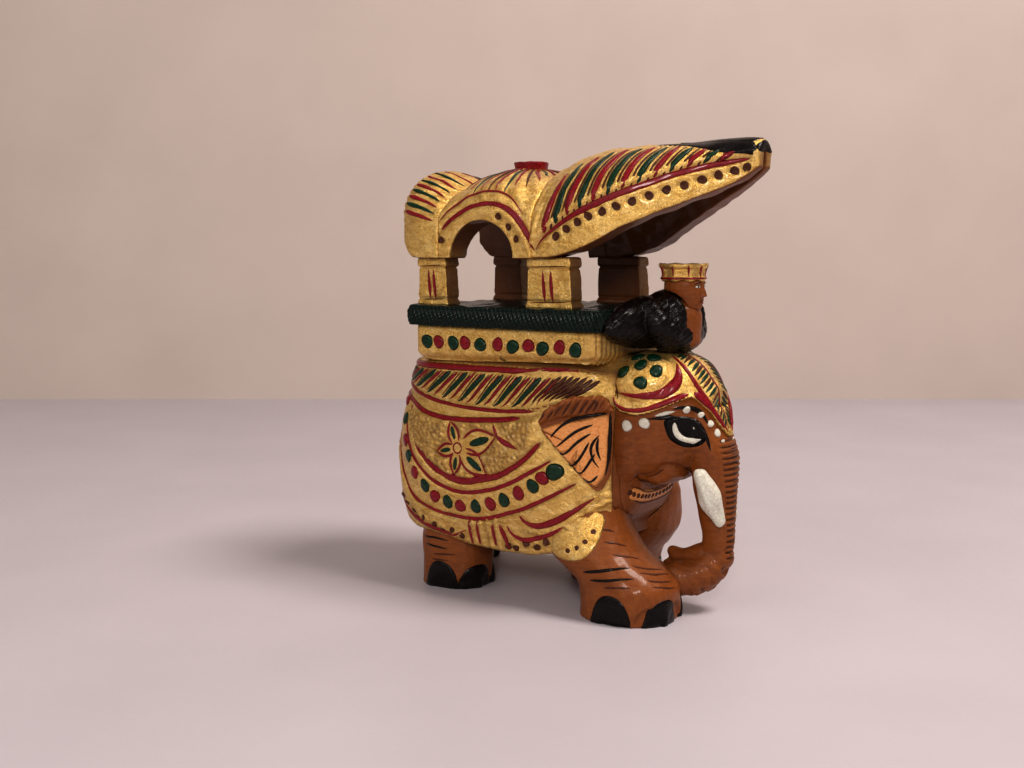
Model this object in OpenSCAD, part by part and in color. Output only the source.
// A hand-carved, painted wooden elephant with a howdah and its driver.
// The elephant looks along +X, its right side is -Y, and it stands on Z = 0.
// The origin is on the ground under the middle of the carving. Millimetres.

/* [Overall] */
// Length from the hindmost foot to the tip of the front awning
total_length = 89; // [88:0.5:91]
// Height from the soles to the top of the front awning
total_height = 100; // [99:0.5:102]

/* [Torso] */
// Half width of the torso over its blanket, at the widest place
torso_half_width = 23; // [21:0.5:24]
// Thickness of the blanket
blanket_thickness = 1.4; // [1:0.1:2]
// Height of the back over the blanket
back_height = 56; // [55:0.5:57]
// Height of the belly
belly_height = 11; // [10:0.5:13]

/* [Howdah] */
// Height at which the seat block's lower edge meets the blanket
seat_bottom = 52.5; // [51:0.5:53.5]
// Height of the seat block above that edge
seat_height = 7.8; // [6:0.1:9]
// Height of the ribbed platform
platform_height = 4.5; // [4:0.5:5]
// Half width of the platform
platform_half_width = 21; // [20:0.5:22]
// Height of the four posts
post_height = 10.5; // [9:0.5:11]
// Half width of the canopy
canopy_half_width = 19; // [18:0.5:20]
// Radius of the disc on top of the canopy
finial_radius = 4; // [3:0.5:5]

/* [Legs] */
// How far the two left feet are set back behind the right ones
stride = 18; // [12:0.5:19]
// Radius of a front sole
front_foot_radius = 10.4; // [9:0.1:10.6]
// Radius of a rear sole
rear_foot_radius = 8; // [7:0.25:8.5]

/* [Head] */
// Thickness of an ear
ear_thickness = 3.2; // [2.5:0.1:4]
// Thickness of the cloth on the head
head_cloth_thickness = 0.9; // [0.7:0.1:1.2]

/* [Hidden] */
// The separate pieces of the carving; node draws one of them, or all

front_end = total_length / 2;
rear_end = -total_length / 2;
ring_sides = 24;
loft_steps = 3;

seat_top = seat_bottom + seat_height;
platform_top = seat_top + platform_height;
post_top = platform_top + post_height;

seat_front = 16.5;
seat_rear = -32;
seat_half_width = canopy_half_width;
platform_front = seat_front + 1.5;
platform_rear = seat_rear - 1;

post_outer = canopy_half_width - 2;
front_post_x = 3.5;
rear_post_x = -28;
front_post_length = 11.5;
rear_post_length = 8.5;
post_thickness = 4.5;

dome_front = 0;
dome_rear = -25;
awning_rear = -36;
side_arch_x = (front_post_x + rear_post_x) / 2 - 1;
side_arch_half_width = 8.5;
side_arch_rise = 8.2;
finial_x = -12.5;

front_foot_x = 21.5;
front_hip_x = 9.5;
rear_foot_x = -24.5;
rear_hip_x = -24;
foot_y = 12.5;
rear_left_radius = rear_foot_radius - 0.7;
rear_left_x = rear_end + rear_left_radius;
rear_left_y = 9.5;
blanket_front = 18;
nail_depth = 0.6;

// ---- Curves and lofts -------------------------------------------------------------------------

// Power of a number that keeps the number's sign
function signed_power(v, p) = sign(v) * pow(abs(v), p);

// Points of a rounded outline with half sizes a and b: 2 is an ellipse, 4 is nearly a rectangle.
// The lower half can be squarer than the upper one.
function outline(a, b, squareness, lower = 0) =
    [for (i = [0:ring_sides - 1])
        let (t = 360 * i / ring_sides,
             q = 2 / (t > 180 && lower > 0 ? lower : squareness))
        [a * signed_power(cos(t), q), b * signed_power(sin(t), q)]];

// Smooth value between p1 and p2, with p0 before and p3 after them
function between(p0, p1, p2, p3, t) =
    0.5 * (2 * p1 + (p2 - p0) * t + (2 * p0 - 5 * p1 + 4 * p2 - p3) * t * t
        + (3 * p1 - p0 - 3 * p2 + p3) * t * t * t);

// Stations with smooth ones added between them
function smoothed(stations) =
    let (last = len(stations) - 1)
    concat(
        [for (i = [0:last - 1], k = [0:loft_steps - 1])
            between(stations[max(i - 1, 0)], stations[i], stations[i + 1],
                    stations[min(i + 2, last)], k / loft_steps)],
        [stations[last]]);

// Solid through a list of rings that all have the same number of points
module loft(rings) {
    sides = len(rings[0]);
    last = len(rings) - 1;
    polyhedron(
        points = [for (ring = rings) each ring],
        faces = concat(
            [for (k = [0:last - 1], i = [0:sides - 1])
                let (j = (i + 1) % sides)
                each [[k * sides + i, (k + 1) * sides + j, k * sides + j],
                      [k * sides + i, (k + 1) * sides + i, (k + 1) * sides + j]]],
            [[for (i = [0:sides - 1]) i]],
            [[for (i = [sides - 1:-1:0]) last * sides + i]]),
        convexity = 8);
}

// Loft along X. A station is [x, lowest, highest, half width]
module loft_x(stations, squareness, lower = 0) {
    loft([for (s = smoothed(stations))
        let (middle = (s[1] + s[2]) / 2, half = (s[2] - s[1]) / 2)
        [for (p = outline(s[3], half, squareness, lower)) [s[0], p[0], middle + p[1]]]]);
}

// Loft along Z. A station is [z, x, y, half length, half width]
module loft_z(stations, squareness) {
    loft([for (s = smoothed(stations))
        [for (p = outline(s[3], s[4], squareness)) [s[1] + p[0], s[2] + p[1], s[0]]]]);
}

// Round bar along a path in the plane Y = 0. A station is [x, z, half width, half thickness]
module bar(stations) {
    path = smoothed(stations);
    last = len(path) - 1;
    loft([for (k = [0:last])
        let (ahead = path[min(k + 1, last)],
             behind = path[max(k - 1, 0)],
             turn = atan2(ahead[1] - behind[1], ahead[0] - behind[0]))
        [for (p = outline(path[k][2], path[k][3], 2.3))
            [path[k][0] - p[1] * sin(turn), p[0], path[k][1] + p[1] * cos(turn)]]]);
}

// Solid bounded by an outer and an inner arch, both swept along X.
// A station is [x, ridge height, side height, lower edge height, half width, wall]
vault_sides = 16;
function arch_point(t, half_width, low, high) =
    [-half_width * cos(t), low + (high - low) * sin(t)];
module vault(stations) {
    n = vault_sides + 3;
    path = smoothed(stations);
    last = len(path) - 1;
    points = [for (s = path)
        let (edge_out = [-s[4], s[3]],
             inner_half = max(s[4] - s[5], 0.6),
             inner_high = max(s[1] - 0.75 * s[5], s[3] + 0.4),
             outer = concat([edge_out],
                 [for (i = [0:vault_sides]) arch_point(180 * i / vault_sides, s[4], s[2], s[1])],
                 [[s[4], s[3]]]),
             inner = [for (i = [0:n - 1]) arch_point(180 * i / (n - 1), inner_half, s[3], inner_high)])
        each concat([for (p = outer) [s[0], p[0], p[1]]], [for (p = inner) [s[0], p[0], p[1]]])];
    // Index of point i on the outer (0) or inner (1) arch of ring k
    function at(k, side, i) = k * 2 * n + side * n + i;
    polyhedron(
        points = points,
        faces = concat(
            [for (k = [0:last - 1], i = [0:n - 2]) each [
                [at(k, 0, i), at(k, 0, i + 1), at(k + 1, 0, i + 1)],
                [at(k, 0, i), at(k + 1, 0, i + 1), at(k + 1, 0, i)],
                [at(k, 1, i), at(k + 1, 1, i + 1), at(k, 1, i + 1)],
                [at(k, 1, i), at(k + 1, 1, i), at(k + 1, 1, i + 1)]]],
            [for (k = [0:last - 1]) each [
                [at(k, 0, 0), at(k + 1, 0, 0), at(k + 1, 1, 0)],
                [at(k, 0, 0), at(k + 1, 1, 0), at(k, 1, 0)],
                [at(k, 0, n - 1), at(k + 1, 1, n - 1), at(k + 1, 0, n - 1)],
                [at(k, 0, n - 1), at(k, 1, n - 1), at(k + 1, 1, n - 1)]]],
            [for (i = [0:n - 2]) each [
                [at(0, 0, i), at(0, 1, i + 1), at(0, 0, i + 1)],
                [at(0, 0, i), at(0, 1, i), at(0, 1, i + 1)],
                [at(last, 0, i), at(last, 0, i + 1), at(last, 1, i + 1)],
                [at(last, 0, i), at(last, 1, i + 1), at(last, 1, i)]]]),
        convexity = 8);
}

// Bakes a shape that is cut against its curved neighbours into one mesh
module carved() {
    resize([0, 0, 0]) children();
}

// Ellipsoid with half sizes r around c
module egg(c, r) {
    translate(c) scale(r) sphere(1, $fn = 20);
}

// Draws its children and their mirror image across the middle plane
module both_sides() {
    children();
    mirror([0, 1, 0]) children();
}

// ---- Torso ------------------------------------------------------------------------------------

// The torso's shape, grown outwards by the given distance
module torso_form(grow) {
    w = torso_half_width + grow;
    low = belly_height - grow;
    high = back_height + grow;
    loft_x([
        [-43 - grow, low + 15, high - 19, w - 16],
        [-41.3 - grow / 2, low + 9, high - 12, w - 9],
        [-36, low + 4, high - 4.5, w - 3.6],
        [-25, low + 0.5, high - 1, w - 1],
        [-8, low - 0.5, high, w],
        [6, low + 0.5, high - 1, w - 1.2],
        [14, low + 3, high - 2.5, w - 3.7],
        [19, low + 8, high - 8, w - 10],
        [22.5 + grow, low + 15, high - 18, w - 16]], 3.3, 4.2);
}

// The torso under the blanket, flat along the belly
module torso_solid() {
    difference() {
        torso_form(-blanket_thickness);
        translate([-60, -40, -2]) cube([120, 80, belly_height + 3]);
    }
}

// The blanket: a shell over the back and sides, open below and in front
module blanket_solid() {
    side_depth = 3.5;
    difference() {
        torso_form(0);
        torso_form(-blanket_thickness);
        translate([-60, side_depth - torso_half_width, -1])
            cube([120, 2 * (torso_half_width - side_depth), 21]);
        translate([blanket_front, -40, 0]) cube([20, 80, 80]);
    }
}

module body() {
    color("peru") carved() torso_solid();
}

module saddle_blanket() {
    color("goldenrod") carved() blanket_solid();
}

module tail() {
    color("peru") carved() difference() {
        bar([[-41, 44, 1.6, 1.5], [-42.8, 37, 1.5, 1.4], [-43.4, 28, 1.4, 1.3], [-42.8, 19, 1.7, 1.3],
             [-42, 15, 1, 0.9]]);
        torso_form(0);
    }
}

// ---- Legs -------------------------------------------------------------------------------------

// Outside of a leg, from a sole of the given radius at [x, y] up into the belly at hip_x
module leg_form(x, y, radius, hip_x) {
    lean = x - hip_x;
    width = radius * 0.92;
    inward = -sign(y);
    loft_z([
        [0, x, y, radius, width],
        [4.5, x, y, radius, width],
        [7.5, x - 0.06 * lean, y, radius * 1.02, width],
        [10.5, x - 0.35 * lean, y, radius * 1.05, width],
        [14, x - 0.72 * lean, y, radius, width],
        [22, hip_x, y + inward, radius * 0.88, width * 0.85],
        [28, hip_x, y + 3 * inward, radius * 0.7, width * 0.7]], 2.4);
}

// A leg cut to meet the torso, with shallow seats for its toenails
module leg(x, y, radius, hip_x) {
    color("peru") carved() difference() {
        leg_form(x, y, radius, hip_x);
        torso_solid();
        blanket_solid();
        toenails(x, y, radius);
    }
}

// Foot between the ground and a little above the toenails, grown outwards by the given distance
module foot_form(x, y, radius, grow, low, high) {
    loft_z([[low, x, y, radius + grow, radius * 0.92 + grow],
            [high, x, y, radius + grow, radius * 0.92 + grow]], 2.4);
}

// Three round-topped plates set into the outer side and the front of a foot
module toenails(x, y, radius) {
    side = sign(y);
    intersection() {
        for (turn = [-80, -38, 6])
            translate([x, y, 0]) rotate([0, 0, -side * turn]) translate([radius * 0.6, 0, 0])
                rotate([0, 90, 0]) scale([1.2, 1, 1]) cylinder(r = radius * 0.33, h = radius, $fn = 24);
        difference() {
            foot_form(x, y, radius, 0.15, 0, 8);
            foot_form(x, y, radius, -nail_depth, -1, 9);
        }
    }
}

module front_right_leg() { leg(front_foot_x, -foot_y, front_foot_radius, front_hip_x); }
module front_left_leg() { leg(front_foot_x - stride, foot_y, front_foot_radius, front_hip_x + 1); }
module rear_right_leg() { leg(rear_foot_x, -foot_y, rear_foot_radius, rear_hip_x); }
module rear_left_leg() { leg(rear_left_x, rear_left_y, rear_left_radius, rear_hip_x - 5); }

module front_right_toenails() {
    color("black") carved() toenails(front_foot_x, -foot_y, front_foot_radius);
}
module front_left_toenails() {
    color("black") carved() toenails(front_foot_x - stride, foot_y, front_foot_radius);
}
module rear_right_toenails() {
    color("black") carved() toenails(rear_foot_x, -foot_y, rear_foot_radius);
}
module rear_left_toenails() {
    color("black") carved() toenails(rear_left_x, rear_left_y, rear_left_radius);
}

// ---- Head -------------------------------------------------------------------------------------

// The head's shape, grown outwards by the given distance
module head_form(grow) {
    loft_x([
        [13, 28.5 - grow, 52 + grow, 12 + grow],
        [18, 27 - grow, 54.5 + grow, 13.2 + grow],
        [24.5, 27 - grow, 55 + grow, 12.2 + grow],
        [29.5, 29.5 - grow, 53.8 + grow, 9.6 + grow],
        [33.5, 34 - grow, 51.5 + grow, 7 + grow],
        [36.6 + grow, 39 - grow, 48 + grow, 4.2 + grow]], 2.6);
}

// The trunk's shape
module trunk_form() {
    bar([
        [33, 43, 6.6, 4.6], [34.2, 36, 6.2, 5], [34.8, 29, 5.2, 4.8], [35.4, 22, 3.9, 3.9],
        [35.8, 15.5, 3.2, 3.4], [34.2, 9.6, 3, 3.5], [30.5, 7.4, 3, 3.8], [27, 7.8, 2.8, 3.4],
        [24.6, 10.4, 2.2, 1.8]]);
}

// The torso and its blanket, which the head, ears and driver are cut against
module shoulders() {
    torso_solid();
    blanket_solid();
}

module head() {
    color("peru") carved() difference() {
        head_form(0);
        shoulders();
    }
}

module trunk() {
    color("peru") carved() difference() {
        trunk_form();
        head_form(0);
        leg_form(front_foot_x, -foot_y, front_foot_radius, front_hip_x);
    }
}

// The right ear, a flap hinged on the head that stands out over the shoulder.
// Its outline is drawn from its front edge backwards and from the ground up.
module ear() {
    ear_root = [18.2, -15];
    ear_turn = 28;
    difference() {
        translate([ear_root[0], ear_root[1], 0]) rotate([0, 0, ear_turn]) rotate([90, 0, 0])
            linear_extrude(ear_thickness) offset(1.5, $fn = 20) offset(-1.5) polygon([
                [-15.2, 40], [-14, 43.6], [-8.5, 46.6], [-1.5, 46.8], [0.4, 44], [0, 31], [-2.5, 26.2],
                [-7, 30.5]]);
        head_form(0);
        shoulders();
    }
}

module right_ear() {
    color("sandybrown") carved() ear();
}

module left_ear() {
    color("sandybrown") carved() mirror([0, 1, 0]) ear();
}

// A pointed blade that lies against the right side of the trunk
module tusk() {
    difference() {
        hull() {
            egg([34.4, -6, 31], [1.2, 1, 1.2]);
            egg([36.2, -5.5, 26.5], [2.2, 1.3, 3]);
            egg([38, -4, 21.5], [0.8, 0.8, 0.8]);
        }
        trunk_form();
    }
}

module right_tusk() {
    color("ivory") carved() tusk();
}

module left_tusk() {
    color("ivory") carved() mirror([0, 1, 0]) tusk();
}

// A band round the chest, just in front of the blanket
module neck_collar() {
    band_rear = 18.5;
    band_width = 2.4;
    color("burlywood") carved() difference() {
        intersection() {
            torso_form(0.5 - blanket_thickness);
            translate([band_rear, -40, belly_height + 3]) cube([band_width, 80, 24]);
        }
        torso_form(-blanket_thickness);
        head_form(0);
        leg_form(front_foot_x, -foot_y, front_foot_radius, front_hip_x);
        leg_form(front_foot_x - stride, foot_y, front_foot_radius, front_hip_x + 1);
    }
}

module head_cloth() {
    color("goldenrod") carved() difference() {
        intersection() {
            head_form(head_cloth_thickness);
            translate([15, 0, 46.5]) rotate([0, 12, 0]) translate([0, -30, 0]) cube([60, 60, 40]);
        }
        head_form(0);
        shoulders();
    }
}

// ---- Howdah -----------------------------------------------------------------------------------

// Box between two heights with rounded upright edges
module rounded_block(rear, front, half_width, low, high, radius) {
    translate([(rear + front) / 2, 0, low]) linear_extrude(high - low)
        offset(radius, $fn = 24) square([front - rear - 2 * radius, 2 * (half_width - radius)], center = true);
}

module seat_block() {
    color("goldenrod") carved() difference() {
        rounded_block(seat_rear, seat_front, seat_half_width, seat_bottom - 3, seat_top, 2);
        torso_form(0);
        head_form(head_cloth_thickness);
    }
}

module howdah_platform() {
    color("darkgreen") carved()
        rounded_block(platform_rear, platform_front, platform_half_width, seat_top, platform_top, 2);
}

// Slab post, a little wider at its foot
module post(x, length) {
    translate([x, -post_outer, platform_top]) rotate([-90, 0, 0]) linear_extrude(post_thickness)
        polygon([[-length / 2, 0], [length / 2, 0], [length / 2 - 0.7, -post_height],
                 [-length / 2 + 0.3, -post_height]]);
}

module front_right_post() { color("goldenrod") post(front_post_x, front_post_length); }
module front_left_post() { color("goldenrod") mirror([0, 1, 0]) post(front_post_x, front_post_length); }
module rear_right_post() { color("goldenrod") post(rear_post_x, rear_post_length); }
module rear_left_post() { color("goldenrod") mirror([0, 1, 0]) post(rear_post_x, rear_post_length); }

// Opening between the posts on each side, right through the canopy
module side_arch() {
    translate([side_arch_x, 0, post_top]) scale([side_arch_half_width, 1, side_arch_rise])
        rotate([90, 0, 0]) cylinder(r = 1, h = 80, center = true, $fn = 48);
}

module canopy_dome() {
    w = canopy_half_width;
    color("goldenrod") carved() difference() {
        vault([[dome_rear, 91.5, 83, post_top, w, 6.5], [-19, 94.3, 85, post_top, w, 6.5],
               [finial_x, 95.5, 86.5, post_top, w, 6.5], [-6, 94.8, 85, post_top, w, 6.5],
               [dome_front, 93.5, 82, post_top, w, 6.5]]);
        side_arch();
    }
}

module front_awning() {
    w = canopy_half_width;
    high = total_height;
    color("goldenrod") carved()
        vault([[dome_front, high - 5.5, 80, post_top, w, 6.5],
               [6, high - 2.2, 83, post_top + 0.5, w, 6.5],
               [13, high - 1, 86, 77.8, w - 0.3, 6],
               [20, high - 0.8, 88.5, 81.6, w - 2.5, 5.5],
               [27, high - 0.7, 91, 84.8, w - 6.2, 5],
               [34, high - 0.5, 93.6, 87.8, w - 10.6, 4.5],
               [40, high - 0.1, 95, 90.5, w - 14.2, 3.5],
               [front_end, high - 0.7, 96, 93.5, w - 16, 2.4]]);
}

module rear_awning() {
    w = canopy_half_width;
    color("goldenrod") carved()
        vault([[awning_rear, 96, 85, 79, w - 1.5, 6],
               [-33.5, 95.3, 85, post_top + 0.6, w - 0.5, 6.5],
               [-30, 94, 84, post_top, w, 6.5],
               [dome_rear, 91.5, 82, post_top, w, 6.5]]);
}

module canopy_finial() {
    color("crimson") carved() difference() {
        translate([finial_x, 0, 93]) cylinder(r1 = finial_radius * 0.8, r2 = finial_radius, h = 4, $fn = 32);
        translate([0, 0, -0.01]) hull() canopy_dome();
    }
}

// ---- Driver -----------------------------------------------------------------------------------

// The driver's bare chest and belly
module driver_torso_form() {
    hull() {
        egg([26, 0, 63], [4.6, 5, 4]);
        egg([26, 0, 58], [4.6, 4, 2]);
    }
}

// The driver's coat and spread knees, in front of the seat block
module coat_form() {
    hull() {
        egg([20, 0, 60], [3.5, 18, 5.2]);
        egg([25, 0, 65], [4, 6.5, 4]);
        egg([27, 0, 59], [5, 8.5, 4.5]);
    }
}

// A bent arm on the right side, from the shoulder to the elbow and on to the hand
module arm_form() {
    hull() {
        egg([23, -9.5, 63.5], [2.6, 2.2, 2.6]);
        egg([28.5, -9.8, 60], [2.2, 2, 2.2]);
    }
    hull() {
        egg([28.5, -9.8, 60], [2.2, 2, 2.2]);
        egg([31.3, -5.8, 57.8], [1.7, 1.7, 1.7]);
    }
}

// The driver's head on its neck
module driver_head_form() {
    hull() {
        egg([26.8, 0, 69.5], [4.5, 4, 3.5]);
        egg([27.6, 0, 66.5], [3.4, 3, 3]);
    }
}

// The turban: a low band that widens upwards
module turban_form() {
    translate([26.6, 0, 70.8]) cylinder(r1 = 4.4, r2 = 4.9, h = 3.4, $fn = 32);
}

// What the driver sits on and leans against
module under_driver() {
    head_form(head_cloth_thickness);
    rounded_block(seat_rear, seat_front, seat_half_width, seat_bottom, seat_top, 2);
    shoulders();
    rounded_block(platform_rear, platform_front, platform_half_width, seat_top, platform_top, 2);
}

module mahout_torso() {
    color("peru") carved() difference() {
        driver_torso_form();
        under_driver();
    }
}

module mahout_coat() {
    color("black") carved() difference() {
        coat_form();
        driver_torso_form();
        under_driver();
    }
}

module mahout_arms() {
    color("black") carved() both_sides() difference() {
        arm_form();
        coat_form();
        driver_torso_form();
        under_driver();
    }
}

module mahout_head() {
    color("saddlebrown") carved() difference() {
        driver_head_form();
        coat_form();
        driver_torso_form();
        turban_form();
    }
}

module mahout_turban() {
    color("goldenrod") turban_form();
}

body();
tail();
front_right_leg();
front_left_leg();
rear_right_leg();
rear_left_leg();
front_right_toenails();
front_left_toenails();
rear_right_toenails();
rear_left_toenails();
head();
trunk();
right_ear();
left_ear();
right_tusk();
left_tusk();
neck_collar();
head_cloth();
saddle_blanket();
seat_block();
howdah_platform();
front_right_post();
front_left_post();
rear_right_post();
rear_left_post();
canopy_dome();
front_awning();
rear_awning();
canopy_finial();
mahout_torso();
mahout_coat();
mahout_arms();
mahout_head();
mahout_turban();
